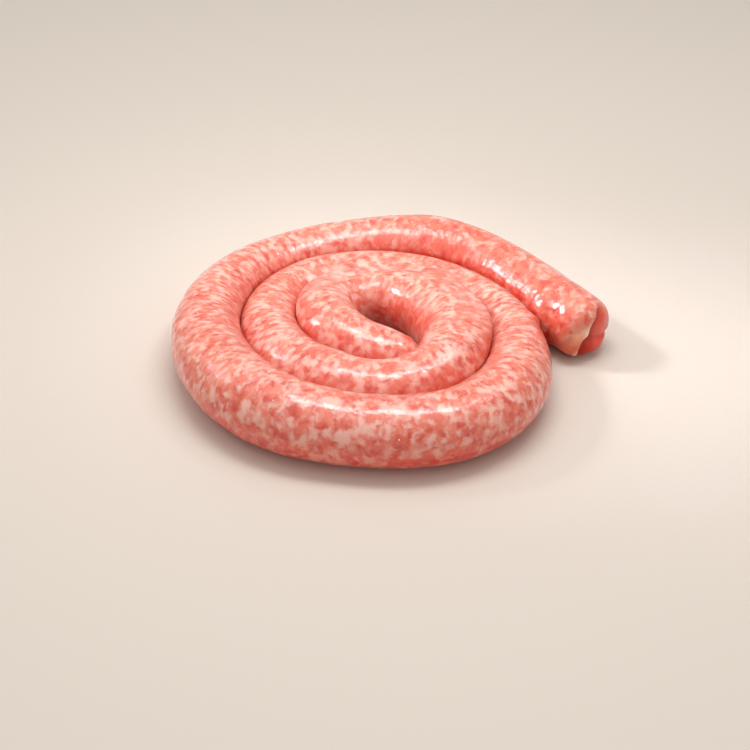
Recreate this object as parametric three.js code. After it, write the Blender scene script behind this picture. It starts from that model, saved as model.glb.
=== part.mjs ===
// A fresh coarse-ground sausage: one long filled casing, coiled flat on a table.
// Millimetres, Z up. It is modelled lying down, as it is sold, with its folded end at the
// right and its tapered tip in the middle of the coil.

import * as THREE from 'three';

// Driving sizes of the coil.
// The sausage is described at stations along its length, from the folded end to the tip.
const STATION_GAP = 40;
// How many degrees it turns to its left in one station gap, at each station.
const TURN_AT_STATION = [
  1, -2, 21, 32, 22, 25, 29, 32, 28, 31, 15, 37, 45,
  27, 33, 31, 40, 50, 46, 34, 59, 66, 42, 90, 104, -14,
];
// The filled casing's diameter at the same stations. It is slack where turns crowd it.
const DIAMETER_AT_STATION = [
  32, 32, 31, 32, 29, 29, 32, 34, 36, 36, 34, 34, 34,
  30, 27, 26, 26, 28, 30, 32, 32, 36, 34, 28, 33, 26,
];
const START_HEADING = 126.5;

// How the soft meat settles.
const SAG = 0.96;            // height of the tube's middle, as a share of its radius
const TURN_CLEARANCE = 0.35;  // slit left between two turns that press on each other
const OWN_REACH = 60;        // length of casing too near along the sausage to press on itself
const PRESS_SHARPNESS = 32;  // how square the side is where a neighbour flattens it
const SPREAD_FULL = 1.05;    // a turn spreads to meet a neighbour this many radii away
const SPREAD_NONE = 1.13;    // and no longer does so beyond this many
const CONTACT_SWELL = 0.16;  // how much the side swells where it has met a neighbour
const SWELL_POWER = 4;       // how far down the side that swelling stays

// At the back of the coil two turns have nearly merged, with only a shallow groove between.
const MELD_OUTER = [865, 920];  // stretch whose outer side has merged
const MELD_INNER = [565, 640];  // stretch one turn further out, whose inner side has
const MELD_EASE = 30;
const MELD_SWELL = 0.5;

// The two ends.
const FOLDED_END = 6;          // where the folded end stops, along the route
const FOLDED_END_LENGTH = 12;  // length over which it rounds off
const FOLDED_END_BLUNTNESS = 2.7;
const TIP_END = 1010;
const TIP_LENGTH = 20;
const TIP_BLUNTNESS = 2.5;
const NOSE = 8;              // length at the very tip that neighbours don't swell to meet

// The fold of slack casing on the outer end, in the plane of the end: x points away from
// the coil, y up, both from the middle of the tube. The lip runs down this line.
const LIP_LINE = [[6, 14], [1, 8.5], [-4.7, 1], [-7.5, -4.5], [-6.4, -15]];
const LIP_EDGE = 2;          // width of the step at the lip
const POCKET_DEPTH = 3.2;    // depth of the fold just beyond the lip
const POCKET_WIDTH = 6;      // over which it rises again
const CREASE_START = new THREE.Vector2(-3.6, -0.8);
const CREASE_END = new THREE.Vector2(8, -3.4);
const CREASE_DEPTH = 1.2;
const CREASE_WIDTH = 1.5;
const LOBE_MIDDLE = new THREE.Vector2(3.5, -8.5);
const LOBE_LIFT = 1.8;       // the lower lobe of the fold swells outwards
const LOBE_SIZE = 5;
const FOLD_AIM = 4;          // the fold sinks towards a point this far inside the rounded end
const FOLD_FADE = 4;         // length over which it dies out at either end of the lip

// How finely the skin is divided.
const SIDES = 24;
const RING_GAP = 6.5;
const RING_TURN = 9;         // most degrees that the route turns between two rings
const FOLDED_END_RINGS = 13;
const TIP_RINGS = 7;
const ROUTE_STEP = 1;

const degrees = THREE.MathUtils.degToRad;

// One curve carries both station rows: x is the turn, y the diameter.
const stationCurve = new THREE.CatmullRomCurve3(
  TURN_AT_STATION.map((turn, i) => new THREE.Vector3(turn, DIAMETER_AT_STATION[i], 0)),
  false, 'catmullrom', 0.5,
);
const STATION_LENGTH = STATION_GAP * (TURN_AT_STATION.length - 1);

function stationValues(along) {
  const share = THREE.MathUtils.clamp(along / STATION_LENGTH, 0, 1);
  const value = stationCurve.getPoint(share);
  return { turnPerMillimetre: degrees(value.x) / STATION_GAP, radius: value.y / 2 };
}

// How wide the tube is at a place, as a share of the full casing: both ends round off.
function endWidth(along) {
  const intoFold = (FOLDED_END + FOLDED_END_LENGTH - along) / FOLDED_END_LENGTH;
  const intoTip = (along - TIP_END + TIP_LENGTH) / TIP_LENGTH;
  const into = Math.max(intoFold, intoTip);
  const bluntness = intoFold > intoTip ? FOLDED_END_BLUNTNESS : TIP_BLUNTNESS;
  if (into <= 0) return 1;
  return Math.pow(Math.max(0, 1 - Math.pow(into, bluntness)), 1 / bluntness);
}

// The route is walked in small steps: each step turns the heading and moves along its middle.
function walkRoute() {
  const route = [];
  let heading = degrees(START_HEADING);
  const place = new THREE.Vector2(0, 0);
  for (let along = 0; along <= TIP_END; along += ROUTE_STEP) {
    const radius = stationValues(along).radius;
    route.push({ along, heading, radius, girth: radius * endWidth(along), place: place.clone() });
    const bends = along < STATION_LENGTH;
    const turn = bends ? stationValues(along + ROUTE_STEP / 2).turnPerMillimetre * ROUTE_STEP : 0;
    place.x += Math.cos(heading + turn / 2) * ROUTE_STEP;
    place.y += Math.sin(heading + turn / 2) * ROUTE_STEP;
    heading += turn;
  }
  return route;
}
const route = walkRoute();

function routeAt(along) {
  const low = THREE.MathUtils.clamp(Math.floor(along / ROUTE_STEP), 0, route.length - 2);
  const share = along / ROUTE_STEP - low;
  const from = route[low];
  const to = route[low + 1];
  return {
    along,
    heading: THREE.MathUtils.lerp(from.heading, to.heading, share),
    radius: THREE.MathUtils.lerp(from.radius, to.radius, share),
    place: from.place.clone().lerp(to.place, share),
  };
}

// How far the tube may swell to one side before it meets the next turn, and whether it
// swells to meet it. The boundary with each other stretch lies between the two middles, in
// proportion to their widths.
function roomBeside(spot, side) {
  let room = Infinity;
  let along = 0;
  for (const other of route) {
    if (Math.abs(other.along - spot.along) < OWN_REACH) continue;
    const away = other.place.clone().sub(spot.place);
    const reach = away.dot(side);
    if (reach <= 0) continue;
    const share = spot.radius / (spot.radius + other.girth);
    const border = away.lengthSq() * share / reach;
    if (border < room) {
      room = border;
      along = other.along;
    }
  }
  const hug = 1 - THREE.MathUtils.smoothstep(along, TIP_END - TIP_LENGTH, TIP_END - NOSE);
  return { room: room - TURN_CLEARANCE / 2, hug };
}

// How fully a stretch of the sausage has merged with its neighbour, from 0 to 1.
function meld(along, [start, stop]) {
  return THREE.MathUtils.smoothstep(along, start - MELD_EASE, start + MELD_EASE)
    * (1 - THREE.MathUtils.smoothstep(along, stop - MELD_EASE, stop + MELD_EASE));
}

// A sideways distance from the tube's middle, once the tube has spread to meet a near
// neighbour and been pressed softly against it.
function pressed(distance, radius, { room, hug }, merged) {
  if (!Number.isFinite(room)) return distance;
  const free = Math.max(room / radius, 1);
  const touching = hug * (1 - THREE.MathUtils.smoothstep(free, SPREAD_FULL, SPREAD_NONE));
  const spread = 1 + (free - 1) * touching;
  const swell = 1 + CONTACT_SWELL * touching * Math.pow(distance / radius, SWELL_POWER);
  const wide = distance * spread * swell * (1 + merged * MELD_SWELL);
  return wide / Math.pow(1 + Math.pow(wide / room, PRESS_SHARPNESS), 1 / PRESS_SHARPNESS);
}

// Where the rings lie along the route. They crowd together towards the two ends.
function ringPlaces() {
  const places = [];
  for (let i = 1; i <= FOLDED_END_RINGS; i += 1) {
    const angle = Math.PI / 2 * i / FOLDED_END_RINGS;
    const depth = Math.pow(Math.max(0, Math.cos(angle)), 2 / FOLDED_END_BLUNTNESS);
    places.push(FOLDED_END + FOLDED_END_LENGTH * (1 - depth));
  }
  const tipStart = TIP_END - TIP_LENGTH;
  let along = FOLDED_END + FOLDED_END_LENGTH;
  while (along < tipStart - RING_GAP) {
    const turn = THREE.MathUtils.radToDeg(Math.abs(stationValues(along).turnPerMillimetre));
    along += Math.min(RING_GAP, RING_TURN / turn);
    places.push(along);
  }
  for (let i = 0; i < TIP_RINGS; i += 1) {
    const angle = Math.PI / 2 * i / TIP_RINGS;
    places.push(tipStart + TIP_LENGTH * Math.pow(Math.sin(angle), 2 / TIP_BLUNTNESS));
  }
  return places;
}

// Signed distance of a point of the end face from the lip, positive beyond it, and how far
// down the lip the nearest place is.
function besideLip(point) {
  let nearest = { beyond: Infinity, down: 0 };
  let passed = 0;
  for (let i = 0; i < LIP_LINE.length - 1; i += 1) {
    const start = new THREE.Vector2(...LIP_LINE[i]);
    const run = new THREE.Vector2(...LIP_LINE[i + 1]).sub(start);
    const length = run.length();
    run.normalize();
    const from = point.clone().sub(start);
    const t = THREE.MathUtils.clamp(from.dot(run), 0, length);
    const gap = from.clone().addScaledVector(run, -t).length();
    if (gap < Math.abs(nearest.beyond)) {
      nearest = { beyond: Math.sign(run.cross(from)) * gap, down: passed + t };
    }
    passed += length;
  }
  return { ...nearest, lipLength: passed };
}

// How deep the fold is at a point of the end face.
function foldDepth(x, y) {
  const point = new THREE.Vector2(x, y);
  const { beyond, down, lipLength } = besideLip(point);
  const fade = THREE.MathUtils.smoothstep(down, 0, FOLD_FADE)
    * (1 - THREE.MathUtils.smoothstep(down, lipLength - FOLD_FADE, lipLength));
  const step = THREE.MathUtils.smoothstep(beyond, -LIP_EDGE / 2, LIP_EDGE / 2);
  const pocket = POCKET_DEPTH * (1 - THREE.MathUtils.smoothstep(beyond, 0, POCKET_WIDTH));
  const crease = CREASE_END.clone().sub(CREASE_START).normalize();
  const besideCrease = point.clone().sub(CREASE_START).cross(crease);
  const groove = CREASE_DEPTH * Math.exp(-Math.pow(besideCrease / CREASE_WIDTH, 2));
  const fromLobe = point.clone().sub(LOBE_MIDDLE).length();
  const lobe = LOBE_LIFT * Math.exp(-Math.pow(fromLobe / LOBE_SIZE, 2));
  return (pocket + groove - lobe) * step * fade;
}

// One point of the skin, from a spot on the route and an angle round it, where 0 points to
// the right of travel, which is away from the coil's middle, and a quarter turn points up.
function skinPoint(spot, rooms, angle) {
  const width = spot.radius * endWidth(spot.along);
  let outward = Math.cos(angle) * width;
  let up = Math.sin(angle) * width;
  let back = 0;
  const bodyStart = FOLDED_END + FOLDED_END_LENGTH;
  if (spot.along <= bodyStart) {
    const inward = new THREE.Vector3(-outward, -up, bodyStart + FOLD_AIM - spot.along);
    inward.normalize().multiplyScalar(foldDepth(outward, up));
    outward += inward.x;
    up += inward.y;
    back = inward.z;
  }
  const side = outward >= 0
    ? pressed(outward, spot.radius, rooms.outer, meld(spot.along, MELD_OUTER))
    : -pressed(-outward, spot.radius, rooms.inner, meld(spot.along, MELD_INNER));
  const ahead = new THREE.Vector2(Math.cos(spot.heading), Math.sin(spot.heading));
  const right = new THREE.Vector2(ahead.y, -ahead.x);
  const plan = spot.place.clone().addScaledVector(right, side).addScaledVector(ahead, back);
  return new THREE.Vector3(plan.x, plan.y, Math.max(0, SAG * spot.radius + up));
}

function sausageGeometry() {
  const points = [];
  const faces = [];
  const rings = ringPlaces();
  for (const along of rings) {
    const spot = routeAt(along);
    const right = new THREE.Vector2(Math.sin(spot.heading), -Math.cos(spot.heading));
    const rooms = { outer: roomBeside(spot, right), inner: roomBeside(spot, right.clone().negate()) };
    for (let k = 0; k < SIDES; k += 1) {
      points.push(skinPoint(spot, rooms, Math.PI * 2 * k / SIDES - Math.PI / 2));
    }
  }
  // Travelling along the sausage, the angle runs from below to the right, up and left.
  for (let i = 0; i < rings.length - 1; i += 1) {
    for (let k = 0; k < SIDES; k += 1) {
      const next = (k + 1) % SIDES;
      const a = i * SIDES + k;
      const b = i * SIDES + next;
      const c = (i + 1) * SIDES + next;
      const d = (i + 1) * SIDES + k;
      faces.push(a, c, b, a, d, c);
    }
  }
  // A fan closes each end on one middle point.
  const foldedPole = points.length;
  const start = routeAt(FOLDED_END);
  points.push(new THREE.Vector3(start.place.x, start.place.y, SAG * start.radius));
  const tipPole = points.length;
  const end = routeAt(TIP_END);
  points.push(new THREE.Vector3(end.place.x, end.place.y, SAG * end.radius));
  const lastRing = (rings.length - 1) * SIDES;
  for (let k = 0; k < SIDES; k += 1) {
    const next = (k + 1) % SIDES;
    faces.push(foldedPole, k, next);
    faces.push(tipPole, lastRing + next, lastRing + k);
  }
  // The middle of the footprint becomes the origin.
  const box = new THREE.Box3().setFromPoints(points);
  const middle = box.getCenter(new THREE.Vector3());
  const positions = points.flatMap((p) => [p.x - middle.x, p.y - middle.y, p.z]);
  const geometry = new THREE.BufferGeometry();
  geometry.setAttribute('position', new THREE.Float32BufferAttribute(positions, 3));
  geometry.setIndex(faces);
  geometry.computeVertexNormals();
  return geometry;
}

const rawMeat = new THREE.MeshStandardMaterial({ color: 0xdb7d70, roughness: 0.32, metalness: 0 });

const sausage = new THREE.Group();
const coil = new THREE.Mesh(sausageGeometry(), rawMeat);
coil.name = 'sausage_coil';
sausage.add(coil);

export default sausage;
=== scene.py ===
# %% [markdown]
# # A fresh sausage, coiled on a table
#
# The real thing is one filled casing, about a metre long and three centimetres thick, wound
# flat into a spiral. Its outer end is folded over and lies free, its tip is tucked into the
# middle. This lesson lays it out in metres on top of a measured frame, which gives the place
# and the size of the solid that the finished piece stands for.

# %% Load the frame
import math
import bmesh
import bpy
import numpy as np
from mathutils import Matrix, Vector, noise


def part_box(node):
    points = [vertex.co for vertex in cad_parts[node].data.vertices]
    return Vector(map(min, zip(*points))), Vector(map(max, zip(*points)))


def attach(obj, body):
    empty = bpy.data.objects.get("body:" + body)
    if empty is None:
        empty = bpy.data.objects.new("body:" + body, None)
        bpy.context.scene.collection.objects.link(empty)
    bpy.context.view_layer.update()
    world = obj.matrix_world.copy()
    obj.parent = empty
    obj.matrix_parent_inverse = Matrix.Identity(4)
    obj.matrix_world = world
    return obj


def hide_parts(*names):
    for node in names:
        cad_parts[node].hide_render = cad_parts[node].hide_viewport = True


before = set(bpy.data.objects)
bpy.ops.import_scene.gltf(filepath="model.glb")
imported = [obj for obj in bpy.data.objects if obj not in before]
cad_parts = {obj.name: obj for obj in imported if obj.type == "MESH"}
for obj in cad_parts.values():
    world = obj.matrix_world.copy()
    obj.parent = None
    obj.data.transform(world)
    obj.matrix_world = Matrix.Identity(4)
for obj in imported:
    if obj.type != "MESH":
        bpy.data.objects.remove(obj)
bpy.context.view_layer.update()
MM = 0.001
low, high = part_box("sausage_coil")
print("frame solid", [round(v * 1000, 1) for v in high - low], "mm")

# %% [markdown]
# ## The camera
#
# The photographer looked down at the coil from in front, at 38 degrees. The nearest turn is
# only a little larger than the furthest, so the camera stood well back with a long lens. A
# 72 mm lens three quarters of a metre away gives the same narrowing.

# %% Camera
CAMERA_PLACE = (-0.00831, -0.60387, 0.45899)
CAMERA_TILT_DOWN = 38
LENS_MM = 72
FILM_WIDTH_MM = 36
eye = bpy.data.cameras.new("eye")
eye.lens = LENS_MM
eye.sensor_width = FILM_WIDTH_MM
camera = bpy.data.objects.new("camera", eye)
camera.location = CAMERA_PLACE
camera.rotation_euler = (math.radians(90 - CAMERA_TILT_DOWN), 0, 0)
bpy.context.scene.collection.objects.link(camera)
bpy.context.scene.camera = camera
print("camera", CAMERA_PLACE, "tilted down", CAMERA_TILT_DOWN, "degrees")

# %% [markdown]
# ## Floor and light
#
# The sausage lies on a sheet of warm pale paper, which returns a little light to its low
# sides.

# %% Floor
FLOOR_SIZE = 60.0
FLOOR_TONE = (0.66, 0.60, 0.52, 1)
FLOOR_ROUGHNESS = 0.7
bpy.ops.object.select_all(action="DESELECT")
bpy.ops.mesh.primitive_plane_add(size=FLOOR_SIZE, location=(0, 0, 0))
floor = bpy.context.object
floor.name = "floor"
paper = bpy.data.materials.new("pale_paper")
paper.use_nodes = True
paper_shader = paper.node_tree.nodes["Principled BSDF"]
paper_shader.inputs["Base Color"].default_value = FLOOR_TONE
paper_shader.inputs["Roughness"].default_value = FLOOR_ROUGHNESS
floor.data.materials.append(paper)
print("floor", FLOOR_SIZE, "m wide")

# %% [markdown]
# ## Lamps
#
# A wet casing shows where the lamps are. White patches run along the tops of the front turns,
# so a narrow softbox hangs overhead. A long streak lies on the straight end, so a small window
# stands low on the left, and a weaker one on the right lights the back left turn. Each
# direction comes from mirroring the line of sight in the surface at a highlight. A wide
# ceiling and a pale room fill the shadows. The Standard view transform keeps bright pinks.

# %% Lamps and room
ROOM_TONE = (1.0, 0.985, 0.97, 1)
ROOM_STRENGTH = 0.58
LAMP_TINT = (1.0, 0.95, 0.97)


def softbox(name, aim, direction, distance, size, watts, spread=180):
    """A rectangular lamp in a direction from the point that it faces."""
    lamp = bpy.data.lights.new(name, "AREA")
    lamp.shape = "RECTANGLE"
    lamp.size, lamp.size_y = size
    lamp.energy = watts
    lamp.color = LAMP_TINT
    lamp.spread = math.radians(spread)
    holder = bpy.data.objects.new(name, lamp)
    away = Vector(direction).normalized()
    holder.location = Vector(aim) + away * distance
    holder.rotation_euler = away.to_track_quat("Z", "Y").to_euler()
    bpy.context.scene.collection.objects.link(holder)


softbox("ceiling", aim=(0, 0, 0), direction=(-0.08, 0.10, 1),
        distance=1.3, size=(1.7, 1.7), watts=5.8)
softbox("overhead_softbox", aim=(0, -0.02, 0.03), direction=(0.02, 0.10, 1),
        distance=0.62, size=(0.44, 0.14), watts=2.1)
softbox("window_at_left", aim=(0.073, 0.015, 0.027), direction=(-0.78, 0.20, 0.60),
        distance=0.9, size=(0.14, 0.20), watts=0.06, spread=14)
softbox("window_at_right", aim=(-0.045, 0.06, 0.026), direction=(0.46, 0.10, 0.88),
        distance=0.7, size=(0.14, 0.12), watts=0.03, spread=30)
surroundings = bpy.data.worlds.new("pale_room")
surroundings.use_nodes = True
background = surroundings.node_tree.nodes["Background"]
background.inputs["Color"].default_value = ROOM_TONE
background.inputs["Strength"].default_value = ROOM_STRENGTH
bpy.context.scene.world = surroundings
bpy.context.scene.view_settings.view_transform = "Standard"

# %% [markdown]
# ## The route of the coil
#
# A Curve modifier could bend a straight tube along a spiral, but it would let neighbouring
# turns run through each other. In the real coil the soft turns press flat where they touch.
# So the route is worked out first, from how much the sausage turns and how thick it is at
# a station every four centimetres, and each point of the tube is then laid on it.

# %% Stations along the sausage
STATION_GAP = 40 * MM
TURN_AT_STATION = np.array([
    1, -2, 21, 32, 22, 25, 29, 32, 28, 31, 15, 37, 45,
    27, 33, 31, 40, 50, 46, 34, 59, 66, 42, 90, 104, -14,
], float)
DIAMETER_AT_STATION = np.array([
    32, 32, 31, 32, 29, 29, 32, 34, 36, 36, 34, 34, 34,
    30, 27, 26, 26, 28, 30, 32, 32, 36, 34, 28, 33, 26,
], float) * MM
STATION_LENGTH = STATION_GAP * (len(TURN_AT_STATION) - 1)


def smooth_through(values, share):
    """A smooth curve through evenly spaced values, read at a share of its whole length."""
    ends = [2 * values[0] - values[1]], [2 * values[-1] - values[-2]]
    padded = np.concatenate((ends[0], values, ends[1]))
    position = np.clip(share, 0, 1) * (len(values) - 1)
    start = np.minimum(position.astype(int), len(values) - 2)
    t = position - start
    before, a, b, after = (padded[start + k] for k in range(4))
    leave, arrive = (b - before) / 2, (after - a) / 2
    return (a + leave * t + (3 * (b - a) - 2 * leave - arrive) * t ** 2
            + (2 * (a - b) + leave + arrive) * t ** 3)


def station_values(along):
    """Turn per metre and radius of the filled casing at distances along it."""
    share = np.asarray(along, float) / STATION_LENGTH
    turn = np.radians(smooth_through(TURN_AT_STATION, share)) / STATION_GAP
    return turn, smooth_through(DIAMETER_AT_STATION, share) / 2


print(len(TURN_AT_STATION), "stations over", round(STATION_LENGTH, 2), "m")

# %% [markdown]
# ## The two ends
#
# The outer end is blunt, because slack casing is folded over it, and the tip is rounder. Both
# narrow along a superellipse, whose power says how blunt the end is, so one line serves for
# both where a hemisphere would look like a capsule.

# %% The two ends round off
FOLDED_END = 6 * MM
FOLDED_END_LENGTH = 12 * MM
FOLDED_END_BLUNTNESS = 2.7
TIP_END = 1010 * MM
TIP_LENGTH = 20 * MM
TIP_BLUNTNESS = 2.5


def end_width(along):
    """Width of the tube as a share of the full casing."""
    into_fold = (FOLDED_END + FOLDED_END_LENGTH - along) / FOLDED_END_LENGTH
    into_tip = (along - TIP_END + TIP_LENGTH) / TIP_LENGTH
    into = np.clip(np.maximum(into_fold, into_tip), 0, 1)
    bluntness = np.where(into_fold > into_tip, FOLDED_END_BLUNTNESS, TIP_BLUNTNESS)
    return (1 - into ** bluntness) ** (1 / bluntness)


print("ends of", FOLDED_END_LENGTH * 1000, "and", TIP_LENGTH * 1000, "mm")

# %% [markdown]
# ## Walking the route
#
# Like a turtle that draws, the route takes a step of a millimetre, turns by what the stations
# say, and takes the next. A spiral formula would give a perfect coil, and this one isn't.

# %% Walk the route
START_HEADING = math.radians(126.5)
ROUTE_STEP = 1 * MM

walk = np.arange(0, TIP_END + ROUTE_STEP / 2, ROUTE_STEP)
step_turn = station_values(walk + ROUTE_STEP / 2)[0] * ROUTE_STEP
step_turn[walk > STATION_LENGTH - ROUTE_STEP / 2] = 0
heading = START_HEADING + np.concatenate(([0], np.cumsum(step_turn)[:-1]))
halfway = heading + step_turn / 2
steps = ROUTE_STEP * np.stack((np.cos(halfway), np.sin(halfway)), 1)
route = np.concatenate(([[0, 0]], np.cumsum(steps, 0)[:-1]))
route_radius = station_values(walk)[1]
route_girth = route_radius * end_width(walk)
print(f"route of {walk[-1] - FOLDED_END:.3f} m, {np.degrees(step_turn.sum()) / 360:.2f} turns")

# %% [markdown]
# ## Where turns touch
#
# For each place on the route this finds how much room there is to the left and to the right
# before the next turn begins. The border lies between the two middles, nearer to the thinner
# turn. A tube that comes near the border first spreads to meet it, as soft meat does, and is
# then pressed softly against it. A soft-body simulation finds contacts too, but of a coil of
# its own, and this coil's are known.

# %% Room beside the tube
NO_NEIGHBOUR = 1e3
TURN_CLEARANCE = 0.05 * MM
OWN_REACH = 60 * MM
NOSE = 8 * MM


def smoothstep(value, start, stop):
    """Eases from 0 to 1 between two values."""
    t = np.clip((value - start) / (stop - start), 0, 1)
    return t * t * (3 - 2 * t)


def route_at(along):
    """Place, heading and radius at distances along the route."""
    place = np.stack([np.interp(along, walk, route[:, k]) for k in (0, 1)], 1)
    return place, np.interp(along, walk, heading), np.interp(along, walk, route_radius)


def room_beside(along, place, radius, side):
    """Free width on one side, whether the tube swells to meet the next turn, and its radius."""
    away = route[None] - place[:, None]
    reach = (away * side[:, None]).sum(2)
    other = (np.abs(walk[None] - along[:, None]) >= OWN_REACH) & (reach > 0)
    share = radius[:, None] / (radius[:, None] + route_girth[None])
    border = np.where(other, (away ** 2).sum(2) * share / np.where(other, reach, 1), NO_NEIGHBOUR)
    nearest = border.argmin(1)
    hug = 1 - smoothstep(walk[nearest], TIP_END - TIP_LENGTH, TIP_END - NOSE)
    return border.min(1) - TURN_CLEARANCE / 2, hug, route_radius[nearest]


print("turns", TURN_CLEARANCE * 1000, "mm apart")

# %% [markdown]
# ## Pressing the sides
#
# A side that reaches its border is bent back smoothly by a power law, which leaves the rest of
# the tube round. At the back right two turns lie so tightly that their groove has all but
# gone. There both sides are filled out up to the border and overlap a little inside the meat.

# %% Pressed and merged sides
PRESS_SHARPNESS = 24
SPREAD_FULL = 1.05
SPREAD_NONE = 1.13
CONTACT_SWELL = 0.16
SWELL_POWER = 4
MELD_OUTER = (854 * MM, 938 * MM)
MELD_INNER = (572 * MM, 655 * MM)
MELD_EASE = 18 * MM
MELD_SWELL = 1.4
MELD_OVERLAP = 2 * MM


def meld(along, stretch):
    """How fully a stretch of the sausage has merged with its neighbour, from 0 to 1."""
    start, stop = stretch
    return smoothstep(along, start - MELD_EASE, start + MELD_EASE) * (
        1 - smoothstep(along, stop - MELD_EASE, stop + MELD_EASE))


def pressed(distance, radius, room, hug, merged):
    """A sideways distance, once the tube has met its neighbour."""
    room = room + merged * MELD_OVERLAP / 2
    free = np.maximum(room / radius, 1)
    touching = hug * (1 - smoothstep(free, SPREAD_FULL, SPREAD_NONE))
    swell = 1 + CONTACT_SWELL * touching * (distance / radius) ** SWELL_POWER
    wide = distance * (1 + (free - 1) * touching) * swell * (1 + merged * MELD_SWELL)
    return wide / (1 + (wide / room) ** PRESS_SHARPNESS) ** (1 / PRESS_SHARPNESS)


print("merged over", round((MELD_OUTER[1] - MELD_OUTER[0]) * 1000), "mm")

# %% [markdown]
# ## A straight tube to start from
#
# The blank is one cylinder of the sausage's own length. Only its long edges are subdivided,
# so that it gets about a ring a millimetre and stays as plain as a straight sausage before
# it is coiled. Its end fans become the folded end and the tip.

# %% Make the blank
AROUND = 88
FIRST_CUTS = 10
SECOND_CUTS = 96
BLANK_RADIUS = 16 * MM
bpy.ops.object.select_all(action="DESELECT")
bpy.ops.mesh.primitive_cylinder_add(
    vertices=AROUND, radius=BLANK_RADIUS, depth=TIP_END - FOLDED_END,
    end_fill_type="TRIFAN", rotation=(0, math.pi / 2, 0))
sausage = bpy.context.object
sausage.name = "sausage_in_casing"
bpy.ops.object.transform_apply(location=True, rotation=True, scale=True)


def select_long_edges(mesh):
    """Selects the edges that run along the tube."""
    shape = bmesh.from_edit_mesh(mesh)
    for edge in shape.edges:
        run = edge.verts[0].co - edge.verts[1].co
        edge.select_set(abs(run.x) > 10 * (abs(run.y) + abs(run.z)))
    bmesh.update_edit_mesh(mesh)


bpy.ops.object.mode_set(mode="EDIT")
bpy.ops.mesh.select_mode(type="EDGE")
for cuts in (FIRST_CUTS, SECOND_CUTS):
    bpy.ops.mesh.select_all(action="DESELECT")
    select_long_edges(sausage.data)
    bpy.ops.mesh.subdivide(number_cuts=cuts)
bpy.ops.object.mode_set(mode="OBJECT")
blank = np.zeros(len(sausage.data.vertices) * 3)
sausage.data.vertices.foreach_get("co", blank)
blank = blank.reshape(-1, 3)
RINGS = (FIRST_CUTS + 1) * (SECOND_CUTS + 1) + 1
print("blank", len(blank), "points in", RINGS, "rings")

# %% [markdown]
# ## Where the rings go
#
# The fold and the tip need closer rings than the long body, so each ring of the blank is
# given its own distance along the route. Loop cuts at the ends would do as well, but moving
# the rings that are there keeps the count known.

# %% Ring places
FOLDED_RINGS = 48
TIP_RINGS = 24

blank_share = (blank[:, 0] - blank[:, 0].min()) / np.ptp(blank[:, 0])
ring_number = np.rint(blank_share * (RINGS - 1)).astype(int)
fold_angle = np.pi / 2 * np.arange(1, FOLDED_RINGS + 1) / FOLDED_RINGS
fold_reach = 1 - np.maximum(0, np.cos(fold_angle)) ** (2 / FOLDED_END_BLUNTNESS)
fold_rings = FOLDED_END + FOLDED_END_LENGTH * fold_reach
tip_angle = np.pi / 2 * np.arange(TIP_RINGS) / TIP_RINGS
tip_rings = TIP_END - TIP_LENGTH + TIP_LENGTH * np.sin(tip_angle) ** (2 / TIP_BLUNTNESS)
body_rings = np.linspace(fold_rings[-1], tip_rings[0], RINGS - FOLDED_RINGS - TIP_RINGS + 2)[1:-1]
ring_along = np.concatenate((fold_rings, body_rings, tip_rings))
body_gap = body_rings[1] - body_rings[0]
print("rings", len(ring_along), "a body ring every", round(body_gap * 1000, 2), "mm")

# %% [markdown]
# ## The fold in the outer end
#
# The outer end is closed by slack casing that is folded in: a pale lip runs down the end
# face, and beyond it lies a darker pocket in two lobes with a crease between them. The fold is
# pushed into the rounded end in code, because its lip has to follow a drawn line.

# %% Shape of the fold
LIP_LINE = np.array([
    (6.2, 14.0), (3.4, 11.1), (1.9, 8.8), (-0.4, 7.1), (-2.9, 4.1), (-4.7, 0.5), (-6.6, -1.4),
    (-7.5, -4.2), (-7.6, -7.8), (-7.2, -11.5), (-6.2, -15.0)]) * MM
LIP_EDGE = 0.8 * MM
LIP_LIFT = 0.6 * MM
LIP_WIDTH = 1.5 * MM
POCKET_DEPTH = 3.4 * MM
POCKET_WIDTH = 6.0 * MM
CREASE_START = np.array((-3.6, -0.8)) * MM
CREASE_END = np.array((8, -3.4)) * MM
CREASE_DEPTH = 1.3 * MM
CREASE_WIDTH = 1.3 * MM
LOBE_MIDDLE = np.array((3.5, -8.5)) * MM
LOBE_LIFT = 1.8 * MM
LOBE_SIZE = 5.0 * MM
FOLD_AIM = 4 * MM
FOLD_FADE = 4 * MM
FLAPS = ((16.0 * MM, 2.4 * MM), (29 * MM, 2.0 * MM))
FLAP_WIDTH = 1.3 * MM
FLAP_LIFT = 1.1 * MM


def cross(a, b):
    """Signed area between two flat vectors."""
    return a[..., 0] * b[..., 1] - a[..., 1] * b[..., 0]


def beside_line(point, line):
    """Signed distance from a drawn line, and how far along it the nearest place is."""
    best = np.full(len(point), 1e9)
    signed, down = np.zeros(len(point)), np.zeros(len(point))
    passed = 0.0
    for start, stop in zip(line[:-1], line[1:]):
        length = np.linalg.norm(stop - start)
        run = (stop - start) / length
        t = np.clip((point - start) @ run, 0, length)
        gap = np.linalg.norm(point - start - t[:, None] * run, axis=1)
        nearer = gap < best
        best = np.where(nearer, gap, best)
        signed = np.where(nearer, np.sign(cross(run, point - start)) * gap, signed)
        down = np.where(nearer, passed + t, down)
        passed += length
    return signed, down, passed


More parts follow.
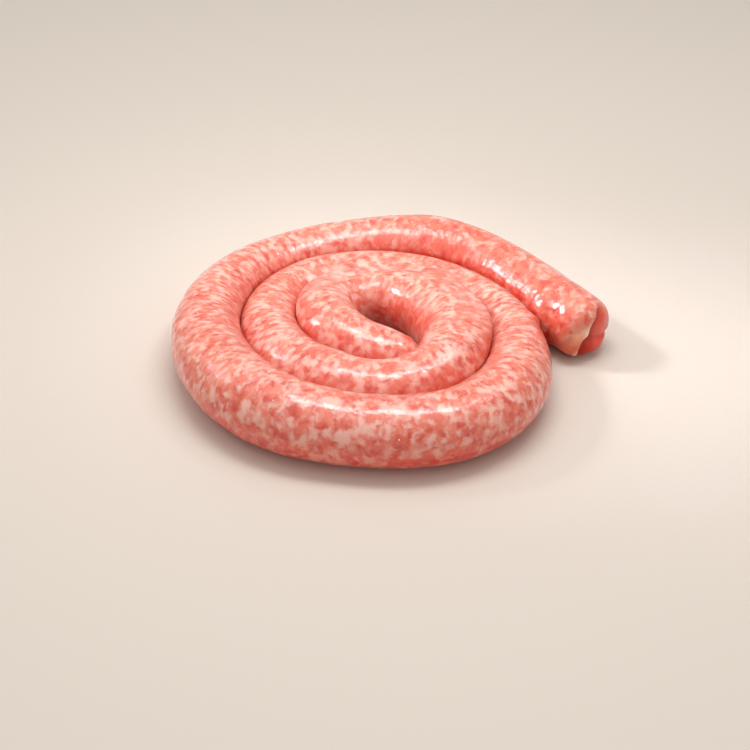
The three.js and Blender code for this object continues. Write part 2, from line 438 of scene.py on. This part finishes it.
def fold_depth(outward, up):
    """How deep the fold is at points of the end face, and how far they lie beyond the lip."""
    point = np.stack((outward, up), -1)
    beyond, down, lip_length = beside_line(point, LIP_LINE)
    fade = smoothstep(down, 0, FOLD_FADE)
    fade = fade * (1 - smoothstep(down, lip_length - FOLD_FADE, lip_length))
    step = smoothstep(beyond, -LIP_EDGE / 2, LIP_EDGE / 2)
    pocket = POCKET_DEPTH * step * (1 - smoothstep(beyond, 0, POCKET_WIDTH))
    lift = LIP_LIFT * (1 - step) * np.exp(-(beyond / LIP_WIDTH) ** 2)
    crease = (CREASE_END - CREASE_START) / np.linalg.norm(CREASE_END - CREASE_START)
    from_crease = cross(point - CREASE_START, crease)
    groove = CREASE_DEPTH * step * np.exp(-(from_crease / CREASE_WIDTH) ** 2)
    lobe = LOBE_LIFT * np.exp(-((point - LOBE_MIDDLE) ** 2).sum(1) / LOBE_SIZE ** 2) * step
    flap = np.zeros(len(point))
    for flap_down, flap_length in FLAPS:
        along_lip = (down - flap_down) / flap_length
        behind_lip = (beyond + FLAP_WIDTH / 2) / FLAP_WIDTH
        flap = np.maximum(flap, np.exp(-along_lip ** 2 - behind_lip ** 2))
    return (pocket + groove - lift - lobe - FLAP_LIFT * flap) * fade, beyond, flap, fade


print("lip line of", len(LIP_LINE), "points, with", len(FLAPS), "flaps")

# %% [markdown]
# ## Laying the tube on its route
#
# Every point of the blank keeps its angle round the tube. It goes to the ring's place, out to
# the casing's width there, and the fold is pushed in. The casing is never perfectly even, so
# low soft lumps are added to the width. A Displace modifier could add them later, but then
# they would push neighbouring turns into each other.

# %% Width of the tube and its fold
LUMP_SIZE = 14 * MM
LUMP_HEIGHT = 0.35 * MM

along = ring_along[ring_number]
angle = np.arctan2(blank[:, 2], blank[:, 1])
place, direction, radius = route_at(ring_along)
ahead = np.stack((np.cos(direction), np.sin(direction)), 1)
right = np.stack((ahead[:, 1], -ahead[:, 0]), 1)
room_outer, hug_outer, next_outer = (
    v[ring_number] for v in room_beside(ring_along, place, radius, right))
room_inner, hug_inner, next_inner = (
    v[ring_number] for v in room_beside(ring_along, place, radius, -right))
radius = radius[ring_number]
share = np.hypot(blank[:, 1], blank[:, 2]) / BLANK_RADIUS
lumps = np.array([
    noise.noise(Vector((a, r * math.cos(t), r * math.sin(t))) / LUMP_SIZE)
    for a, r, t in zip(along, radius, angle)])
width = (radius + LUMP_HEIGHT * lumps) * end_width(along) * share
outward, up = np.cos(angle) * width, np.sin(angle) * width
body_start = FOLDED_END + FOLDED_END_LENGTH
depth, beyond, flap, fade = fold_depth(outward, up)
depth = np.where(along <= body_start, depth, 0)
inward = np.stack((-outward, -up, body_start + FOLD_AIM - along), 1)
inward *= (depth / np.linalg.norm(inward, axis=1))[:, None]
outward, up, back = outward + inward[:, 0], up + inward[:, 1], inward[:, 2]
print("lumps up to", round(np.abs(lumps).max() * LUMP_HEIGHT * 1000, 2), "mm")

# %% [markdown]
# ## Against the neighbours and the table
#
# A fat turn bulges over a thin one beside it, so the border between them leans: a side gets
# more room above the middle of the contact, and less below it. Where two turns have merged,
# both slope to the same height instead. What would be under the table is flattened to it.

# %% Press the tube and lay it
SAG = 0.96
LEAST_ROOM = 0.6
MELD_SLOPE_START = 0.1

is_outer = outward >= 0
room = np.where(is_outer, room_outer, room_inner)
merged = np.where(is_outer, meld(along, MELD_OUTER), meld(along, MELD_INNER))
next_radius = np.where(is_outer, next_outer, next_inner)
girths = radius + next_radius
height = SAG * radius + up
lean = SAG * (radius - next_radius) * radius / (room * girths)
above_contact = height - 2 * SAG * radius * next_radius / girths
room = np.maximum(room + (1 - merged) * lean * above_contact, radius * LEAST_ROOM)
hug = np.where(is_outer, hug_outer, hug_inner)
side = pressed(np.abs(outward), radius, room, hug, merged)
to_border = merged * smoothstep(side / room, MELD_SLOPE_START, 1)
level = 1 + to_border * (next_radius / radius - 1) / 2
side = np.where(is_outer, side, -side)
plan = place[ring_number] + right[ring_number] * side[:, None]
plan = plan + ahead[ring_number] * back[:, None]
laid = np.column_stack((plan, np.maximum(0, height) * level))
middle = (laid[:, :2].max(0) + laid[:, :2].min(0)) / 2
frame_middle = np.array(((low + high) / 2)[:2])
laid[:, :2] += frame_middle - middle
sausage.data.vertices.foreach_set("co", laid.ravel())
sausage.data.update()
print("laid", np.round((laid.max(0) - laid.min(0)) * 1000, 1), "mm")

# %% [markdown]
# ## Coordinates that follow the casing
#
# Meat and fat were pressed into the casing while it was straight, and bending it drags the
# grain round with it. Each point remembers where it lay in the straight tube. A texture that
# reads this has no seam and turns with the coil. Where the coil runs away from the viewer the
# strokes are drawn out crosswise, so the coordinate along the tube is stretched there.

# %% Coordinates of the straight casing
GATHER_LEAST = 1.15
GATHER_MOST = 0.9
TAIL_END = 110 * MM


def write_attribute(name, values):
    """Stores a number or a vector at every point."""
    vector = values.ndim == 2
    data = sausage.data.attributes.new(name, "FLOAT_VECTOR" if vector else "FLOAT", "POINT")
    flat = values.astype(np.float32).ravel()
    data.data.foreach_set("vector" if vector else "value", flat)


crosswise = np.sin(heading) ** 2 * smoothstep(walk, TAIL_END, 2 * TAIL_END)
gathered = np.cumsum((GATHER_LEAST + GATHER_MOST * crosswise) * ROUTE_STEP)
across = radius * end_width(along) * share
straight = np.column_stack((
    np.interp(along, walk, gathered), across * np.cos(angle), across * np.sin(angle)))
write_attribute("straight", straight)
write_attribute("bend", np.interp(along, walk, crosswise))
print("strokes along", round(gathered[-1], 2), "m of texture")

# %% [markdown]
# ## Masks for the fold
#
# The folded casing has no meat behind it. The hood before the lip is cream, the pocket beyond
# it is plain red, the bottom of the fold gets painted shade, and the flaps are clear skin.
# Vertex paint could mark them by hand, but the lip's own distances draw them without a slip.

# %% Masks for the fold
FOLD_NEAR = (12 * MM, 26 * MM)
HOOD_WIDTH = 13 * MM
HOOD_TOP = (14 * MM, 25 * MM)
HOOD_TOP_FADE = 0.9
CREVICE_SHADE_WIDTH = 2.2 * MM

fade_in = fade * (1 - smoothstep(along, *FOLD_NEAR))
write_attribute("pocket", smoothstep(beyond, 0, LIP_EDGE) * fade_in)
hood = smoothstep(-beyond, 0, LIP_EDGE) * fade_in
hood = hood * (1 - smoothstep(-beyond, HOOD_WIDTH / 3, HOOD_WIDTH))
hood = hood * (1 - HOOD_TOP_FADE * smoothstep(laid[:, 2], *HOOD_TOP))
write_attribute("hood", hood)
# Painted shade along the bottom of the fold, just beyond the lip.
write_attribute("crevice_shade", np.exp(-(beyond / CREVICE_SHADE_WIDTH) ** 2) * (beyond > 0) * fade_in)
write_attribute("flap", flap * (1 - smoothstep(along, *FOLD_NEAR)))
print("hood on", int((hood > 0.5).sum()), "points")

# %% [markdown]
# ## Masks for painted shade and squeeze
#
# Low down and in the grooves the colour gets painted shade: it is made darker and redder
# there, as light reaches the meat there through other meat. On the inside of a tight bend the
# casing is squeezed so much that drawn strokes would turn into threads, so a mask marks where
# the pattern changes over.

# %% Masks for painted shade and squeeze
LOW_BAND = (2 * MM, 30 * MM)
SHELTER_ROOM = (1.3, 2.6)
FLANK_BAND = (0.35, 0.95)
FLANK_SHADE = 0.5
DEPTH_BAND = (0.5, 1.7)
SQUEEZE_BAND = (0.5, 1.0)
TAIL_FADE = 1.4

lowness = 1 - smoothstep(laid[:, 2], *LOW_BAND)
closeness = 1 - smoothstep(room / radius, *SHELTER_ROOM)
flank = smoothstep(np.abs(outward) / radius, *FLANK_BAND)
depth_down = 1 - smoothstep(laid[:, 2] / radius, *DEPTH_BAND)
# These two masks carry painted shade: one for the low sides, one for the grooves between turns.
write_attribute("low", lowness * (1 - closeness) * (1 - hood))
write_attribute("groove_shade", closeness * np.maximum(flank * FLANK_SHADE, depth_down))
squeeze = 1 + side * np.interp(along, walk, step_turn / ROUTE_STEP)
write_attribute("squeezed", np.maximum(merged, 1 - smoothstep(squeeze, *SQUEEZE_BAND)))
write_attribute("tail", 1 - smoothstep(along, TAIL_END, TAIL_FADE * TAIL_END))
print("attributes", [a.name for a in sausage.data.attributes])

# %% [markdown]
# ## Finishing the mesh
#
# Every face has to point outwards, or the meat's glow is worked out inside out. The lip runs
# slantwise over the rings and leaves small teeth, so the points near it are then relaxed with
# the smooth operator, as with the smooth brush by hand. Smooth shading finishes the casing.

# %% Point the faces outwards
bpy.ops.object.select_all(action="DESELECT")
sausage.select_set(True)
bpy.context.view_layer.objects.active = sausage
bpy.ops.object.mode_set(mode="EDIT")
bpy.ops.mesh.select_all(action="SELECT")
bpy.ops.mesh.normals_make_consistent(inside=False)
print("triangles", sum(len(p.vertices) - 2 for p in sausage.data.polygons))

# %% Relax the lip
LIP_RELAX_REACH = 3 * MM
LIP_RELAX_ROUNDS = 3
LIP_RELAX_FACTOR = 0.5

bpy.ops.mesh.select_mode(type="VERT")
bpy.ops.mesh.select_all(action="DESELECT")
shape = bmesh.from_edit_mesh(sausage.data)
shape.verts.ensure_lookup_table()
near_lip = np.flatnonzero((along <= body_start) & (np.abs(beyond) < LIP_RELAX_REACH))
for number in near_lip:
    shape.verts[number].select_set(True)
shape.select_flush_mode()
bmesh.update_edit_mesh(sausage.data)
bpy.ops.mesh.vertices_smooth(factor=LIP_RELAX_FACTOR, repeat=LIP_RELAX_ROUNDS)
bpy.ops.object.mode_set(mode="OBJECT")
bpy.ops.object.shade_smooth()
print("relaxed", len(near_lip), "points")

# %% [markdown]
# ## Ground meat seen through the casing
#
# Coarse-ground meat is a mosaic of red lean and cream fat, two to six millimetres across, with
# soft edges because the wet casing blurs it. A painted picture would show a seam and a repeat.
# Here cells of random value give the mosaic, noise makes them ragged, and eased values turn
# them into masks. First come short helpers for adding and linking nodes.

# %% Node helpers
def srgb(red, green, blue):
    """A colour as a picture program names it, from 0 to 255, for a shader's input."""
    def linear(value):
        value /= 255
        return value / 12.92 if value <= 0.04045 else ((value + 0.055) / 1.055) ** 2.4
    return (linear(red), linear(green), linear(blue), 1)


def add(tree, kind, inputs=None, **settings):
    """Adds a node, sets its properties, and fills or links its inputs by name or number."""
    node = tree.nodes.new(kind)
    for name, value in settings.items():
        setattr(node, name, value)
    for name, value in (inputs or {}).items():
        if isinstance(value, bpy.types.NodeSocket):
            tree.links.new(value, node.inputs[name])
        else:
            node.inputs[name].default_value = value
    return node


def eased(tree, value, start, stop, low=0.0, high=1.0):
    """Maps a value smoothly from start..stop to low..high."""
    node = add(tree, "ShaderNodeMapRange", {
        "Value": value, "From Min": start, "From Max": stop, "To Min": low, "To Max": high},
        interpolation_type="SMOOTHSTEP")
    return node.outputs["Result"]


def blend(tree, factor, first, second):
    """Mixes two colours."""
    node = add(tree, "ShaderNodeMix", {0: factor, 6: first, 7: second}, data_type="RGBA")
    return node.outputs[2]


def maths(tree, operation, *numbers):
    """One sum with two or three numbers."""
    return add(tree, "ShaderNodeMath", dict(enumerate(numbers)), operation=operation).outputs[0]


print("middle grey, 128 of 255, is", round(srgb(128, 128, 128)[0], 3), "as light")

# %% [markdown]
# ## The mosaic as a node group
#
# The material needs the mosaic twice, on two kinds of coordinates. A group is built once and
# placed twice, and it puts out masks alone: how much fat, how much dark lean, how much fibre.

# %% Mosaic of lean and fat
WARP_SCALE = 0.8
WARP_REACH = 1.2
CELL_SCALE = 0.9
CELL_SHARE = 0.3
CLOUD_SCALE = 0.85
PATCH_SCALE = 0.3
PATCH_SHARE = 0.22
FAT_EDGE = (0.54, 1.04)
SPOTS_SHIFT = (7.3, 3.1, 5.7)
SPOTS_SCALE = 0.8
SPOTS_CELL_SHARE = 0.12
DEEP_EDGE = (0.34, 0.66)
FIBRE_SCALE = 2.6


def mosaic_group():
    """Node group: masks for the fat and for the dark lean of ground meat."""
    group = bpy.data.node_groups.new("meat_mosaic", "ShaderNodeTree")
    group.interface.new_socket("Vector", in_out="INPUT", socket_type="NodeSocketVector")
    group.interface.new_socket("Scale", in_out="INPUT", socket_type="NodeSocketFloat")
    for name in ("Fat", "Deep", "Fibre"):
        group.interface.new_socket(name, in_out="OUTPUT", socket_type="NodeSocketFloat")
    source = group.nodes.new("NodeGroupInput")
    result = group.nodes.new("NodeGroupOutput")
    scaled = add(group, "ShaderNodeVectorMath", {
        0: source.outputs["Vector"], "Scale": source.outputs["Scale"]},
        operation="SCALE").outputs[0]
    warp = add(group, "ShaderNodeTexNoise", {
        "Vector": scaled, "Scale": WARP_SCALE, "Detail": 2.0})
    centred = add(group, "ShaderNodeVectorMath", {
        0: warp.outputs["Color"], 1: (0.5, 0.5, 0.5)}, operation="SUBTRACT").outputs[0]
    ragged = add(group, "ShaderNodeVectorMath", {
        0: centred, 1: (WARP_REACH,) * 3, 2: scaled}, operation="MULTIPLY_ADD").outputs[0]
    cells = add(group, "ShaderNodeTexVoronoi", {
        "Vector": ragged, "Scale": CELL_SCALE, "Smoothness": 1.0}, feature="SMOOTH_F1")
    cell = add(group, "ShaderNodeSeparateColor", {0: cells.outputs["Color"]})
    clouds = add(group, "ShaderNodeTexNoise", {
        "Vector": ragged, "Scale": CLOUD_SCALE, "Detail": 2.0, "Roughness": 0.5}).outputs["Fac"]
    patches = add(group, "ShaderNodeTexNoise", {
        "Vector": scaled, "Scale": PATCH_SCALE, "Detail": 1.0}).outputs["Fac"]
    fat = maths(group, "ADD", maths(group, "MULTIPLY", cell.outputs["Red"], CELL_SHARE), clouds)
    fat = maths(group, "ADD", fat, maths(group, "MULTIPLY", patches, PATCH_SHARE))
    spots = add(group, "ShaderNodeTexNoise", {
        "Vector": add(group, "ShaderNodeVectorMath", {
            0: ragged, 1: SPOTS_SHIFT}, operation="ADD").outputs[0],
        "Scale": SPOTS_SCALE, "Detail": 2.0, "Roughness": 0.5}).outputs["Fac"]
    deep = maths(group, "SUBTRACT", spots, maths(
        group, "MULTIPLY", cell.outputs["Green"], SPOTS_CELL_SHARE))
    fibre = add(group, "ShaderNodeTexNoise", {
        "Vector": ragged, "Scale": FIBRE_SCALE, "Detail": 2.0, "Roughness": 0.5,
        "Distortion": 0.4})
    group.links.new(eased(group, fat, *FAT_EDGE), result.inputs["Fat"])
    group.links.new(eased(group, deep, *DEEP_EDGE), result.inputs["Deep"])
    group.links.new(fibre.outputs["Fac"], result.inputs["Fibre"])
    return group


meat_mosaic = mosaic_group()
print("group", meat_mosaic.name, len(meat_mosaic.nodes), "nodes")

# %% [markdown]
# ## The colours
#
# Measured colours of raw meat look too red on their own, since the glow inside the meat adds
# red again. So these were set by comparing patches of the render with patches of the real
# thing, bright ones and dark ones apart. The crevice red is painted shade, the membrane white
# also gives painted glints, and the last two are painted shade that multiplies the colour
# low down and in the grooves.

# %% Colours and the material
LEAN = srgb(224, 118, 94)
DEEP = srgb(204, 64, 48)
FAT = srgb(233, 184, 168)
HOOD = srgb(255, 224, 184)
POCKET = srgb(222, 98, 76)
# Painted shade for the bottom of the fold.
CREVICE_SHADE = srgb(126, 20, 18)
# White of the membrane flaps, also used for the painted glints.
MEMBRANE_AND_GLINT = srgb(255, 240, 226)
# Painted shade: tints multiplied into the colour low down and in the grooves.
LOW_SHADE = (1.0, 0.26, 0.17, 1)
CREASE_SHADE = (0.82, 0.25, 0.18, 1)

casing = bpy.data.materials.new("wet_casing_over_meat")
casing.use_nodes = True
tree = casing.node_tree
shader = tree.nodes["Principled BSDF"]


def mask(name):
    """A mask stored on the points of the piece."""
    return add(tree, "ShaderNodeAttribute", attribute_name=name).outputs["Fac"]


print("material", casing.name)

# %% [markdown]
# ## Two mosaics in one
#
# The drawn one follows the straight casing, so its strokes turn with the coil. The heaped one
# stands in the room. It takes over where the casing is squeezed and where two turns have
# merged, so that no seam shows between them.

# %% Two mosaics in one
MOSAIC_PER_METRE = 270.0

position = add(tree, "ShaderNodeAttribute", attribute_name="straight").outputs["Vector"]
bend = mask("bend")
place_in_room = add(tree, "ShaderNodeTexCoord").outputs["Object"]
drawn, heaped = (
    add(tree, "ShaderNodeGroup", {"Vector": vector, "Scale": MOSAIC_PER_METRE},
        node_tree=meat_mosaic)
    for vector in (position, place_in_room))
squeezed = mask("squeezed")


def either(name):
    """The mosaic drawn out with the casing, or unsqueezed where the bend is tightest."""
    return add(tree, "ShaderNodeMix", {
        0: squeezed, 2: drawn.outputs[name], 3: heaped.outputs[name]},
        data_type="FLOAT").outputs[0]


print("mosaic of", MOSAIC_PER_METRE, "cells a metre")

# %% [markdown]
# ## Fat, lean and strokes
#
# Filling the casing drags the meat into short strokes across the tube, which show most at the
# sides of the coil. Noise that is squeezed in one direction gives them all at once, where drawn
# strokes would have to be placed one by one. They and a finer fibre are added to the share of
# fat, before it chooses between lean and fat.

# %% Fat, lean and strokes
STROKES_PER_METRE = (480.0, 160.0, 160.0)
STROKE_BY_BEND = 0.26
STROKE_LEAST = 0.08
FIBRE_SHARE = 0.25
TAIL_LEANNESS = 0.26
DEEP_SHARE = 0.9
PALENESS_EDGE = (-0.1, 1.1)

streaks = add(tree, "ShaderNodeTexNoise", {
    "Vector": add(tree, "ShaderNodeVectorMath", {
        0: position, 1: STROKES_PER_METRE}, operation="MULTIPLY").outputs[0],
    "Scale": 1.0, "Detail": 2.0, "Roughness": 0.5, "Distortion": 0.6}).outputs["Fac"]
loose = maths(tree, "SUBTRACT", 1.0, squeezed)
centred_streaks = maths(tree, "SUBTRACT", streaks, 0.5)
stroke_height = maths(tree, "MULTIPLY_ADD", bend, STROKE_BY_BEND, STROKE_LEAST)
streak_tone = maths(
    tree, "MULTIPLY", maths(tree, "MULTIPLY", centred_streaks, loose), stroke_height)
fibre_tone = maths(
    tree, "MULTIPLY", maths(tree, "SUBTRACT", either("Fibre"), 0.5), FIBRE_SHARE)
fat_share = maths(tree, "ADD", maths(tree, "ADD", either("Fat"), streak_tone), fibre_tone)
tail = mask("tail")
fat_share = maths(tree, "SUBTRACT", fat_share, maths(tree, "MULTIPLY", tail, TAIL_LEANNESS))
paleness = eased(tree, fat_share, *PALENESS_EDGE)
meat = blend(tree, maths(tree, "MULTIPLY", either("Deep"), DEEP_SHARE), LEAN, DEEP)
meat = blend(tree, paleness, meat, FAT)
print("strokes of", round(1000 / STROKES_PER_METRE[0], 1), "mm")

# %% [markdown]
# ## Fold, painted glints and painted shade
#
# The fold's masks lay their colours over the meat, and its crevice mask lays painted shade
# along the bottom of the fold. Each could be a material of its own, but masks in one
# material fade into each other. Painted highlights, tiny white glints, are spread by random
# cells, half of which stay empty. Low meat gets painted shade, darker and redder, the lean
# more than the fat, and meat in the grooves gets painted shade in the red of its neighbours.

# %% Fold, painted glints and painted shade
HOOD_CLOUDINESS = 0.4
HOOD_LEAST = 0.7
POCKET_SHARE = 0.85
GLINTS_PER_METRE = 170.0
GLINT_EDGE = (0.05, 0.10)
GLINT_CHANCE = (0.5, 0.6)
GLINT_SHARE = 0.75
LOW_SHADE_ON_LEAN = 1.25
LOW_SHADE_FAT_LOSS = -0.55
FLAP_SHARE = 0.9

cloudy = maths(tree, "MULTIPLY_ADD", either("Fat"), HOOD_CLOUDINESS, HOOD_LEAST)
meat = blend(tree, maths(tree, "MULTIPLY", mask("hood"), cloudy), meat, HOOD)
meat = blend(tree, maths(tree, "MULTIPLY", mask("pocket"), POCKET_SHARE), meat, POCKET)
# Painted shade: a dark red line along the bottom of the fold.
meat = blend(tree, mask("crevice_shade"), meat, CREVICE_SHADE)
# Painted highlights: tiny white glints scattered by random cells.
glint_cells = add(tree, "ShaderNodeTexVoronoi", {"Vector": position, "Scale": GLINTS_PER_METRE})
glint_chance = add(tree, "ShaderNodeSeparateColor", {0: glint_cells.outputs["Color"]}).outputs[0]
painted_glint = maths(
    tree, "MULTIPLY", eased(tree, glint_cells.outputs["Distance"], *GLINT_EDGE, 1.0, 0.0),
    eased(tree, glint_chance, *GLINT_CHANCE))
meat = blend(tree, maths(tree, "MULTIPLY", painted_glint, GLINT_SHARE), meat, MEMBRANE_AND_GLINT)
low_shade = maths(tree, "MULTIPLY", mask("low"), maths(
    tree, "MULTIPLY_ADD", paleness, LOW_SHADE_FAT_LOSS, LOW_SHADE_ON_LEAN))
groove_shade = mask("groove_shade")
# Painted shade: the colour is multiplied darker and redder low down and in the grooves.
for amount, tint in ((low_shade, LOW_SHADE), (groove_shade, CREASE_SHADE)):
    meat = add(tree, "ShaderNodeMix", {0: amount, 6: meat, 7: tint},
               data_type="RGBA", blend_type="MULTIPLY").outputs[2]
meat = blend(tree, maths(tree, "MULTIPLY", mask("flap"), FLAP_SHARE), meat, MEMBRANE_AND_GLINT)
tree.links.new(meat, shader.inputs["Base Color"])
print("colour takes", len(tree.nodes), "nodes")

# %% [markdown]
# ## Wet skin over glowing meat
#
# Light goes a couple of millimetres into raw meat and comes out red, which subsurface
# scattering gives. The casing is a second, shiny surface, so it is the shader's coat. Its film
# of water is broken, so noise thins the coat in patches, and in the grooves it is nearly gone.

# %% Wet skin over glowing meat
MEAT_ROUGHNESS = 0.36
MEAT_SPECULAR = 0.3
GLOW = 0.6
GLOW_RADIUS = (1.0, 0.35, 0.25)
GLOW_DEPTH = 2.2 * MM
SKIN_ROUGHNESS = 0.07
SHELTERED_SKIN_LOSS = -0.85
FILM_PER_METRE = 130.0
FILM_EDGE = (0.36, 0.52)
FILM_THINNEST = 0.3

for socket, value in (
        ("Roughness", MEAT_ROUGHNESS), ("Specular IOR Level", MEAT_SPECULAR),
        ("Subsurface Weight", GLOW), ("Subsurface Radius", GLOW_RADIUS),
        ("Subsurface Scale", GLOW_DEPTH), ("Coat Roughness", SKIN_ROUGHNESS)):
    shader.inputs[socket].default_value = value
film = add(tree, "ShaderNodeTexNoise", {
    "Vector": position, "Scale": FILM_PER_METRE, "Detail": 3.0, "Roughness": 0.6}).outputs["Fac"]
wet = eased(tree, film, *FILM_EDGE, FILM_THINNEST, 1.0)
open_to_light = maths(tree, "MULTIPLY_ADD", groove_shade, SHELTERED_SKIN_LOSS, 1.0)
tree.links.new(maths(tree, "MULTIPLY", open_to_light, wet), shader.inputs["Coat Weight"])
print("glow", GLOW_DEPTH * 1000, "mm deep")

# %% [markdown]
# ## Fine wrinkles
#
# The casing is finely wrinkled, and on the free end it is crackled like thin ice, which breaks
# the highlights. This is far too fine for the mesh, so a Bump node tilts the shading instead,
# for the meat and for its coat.

# %% Fine wrinkles
WRINKLES_PER_METRE = 260.0
CRACKLE_PER_METRE = 420.0
CRACKLE_SHARE = 0.5
STROKE_RELIEF = 0.4
BUMP_STRENGTH = 0.7
BUMP_HEIGHT = 0.5 * MM

wrinkles = add(tree, "ShaderNodeTexNoise", {
    "Vector": position, "Scale": WRINKLES_PER_METRE, "Detail": 4.0,
    "Roughness": 0.5}).outputs["Fac"]
crackle = add(tree, "ShaderNodeTexVoronoi", {
    "Vector": position, "Scale": CRACKLE_PER_METRE}, feature="F1").outputs["Distance"]
crackled = maths(tree, "MULTIPLY", crackle, maths(tree, "MULTIPLY", tail, CRACKLE_SHARE))
relief = maths(tree, "ADD", wrinkles, maths(tree, "MULTIPLY", streak_tone, STROKE_RELIEF))
bump = add(tree, "ShaderNodeBump", {
    "Strength": BUMP_STRENGTH, "Distance": BUMP_HEIGHT,
    "Height": maths(tree, "ADD", relief, crackled)})
for socket in ("Normal", "Coat Normal"):
    tree.links.new(bump.outputs["Normal"], shader.inputs[socket])
sausage.data.materials.append(casing)
print("material", casing.name, len(tree.nodes), "nodes")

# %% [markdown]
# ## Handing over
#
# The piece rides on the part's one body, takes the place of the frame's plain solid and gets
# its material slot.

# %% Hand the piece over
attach(sausage, "root")
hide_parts("sausage_coil")
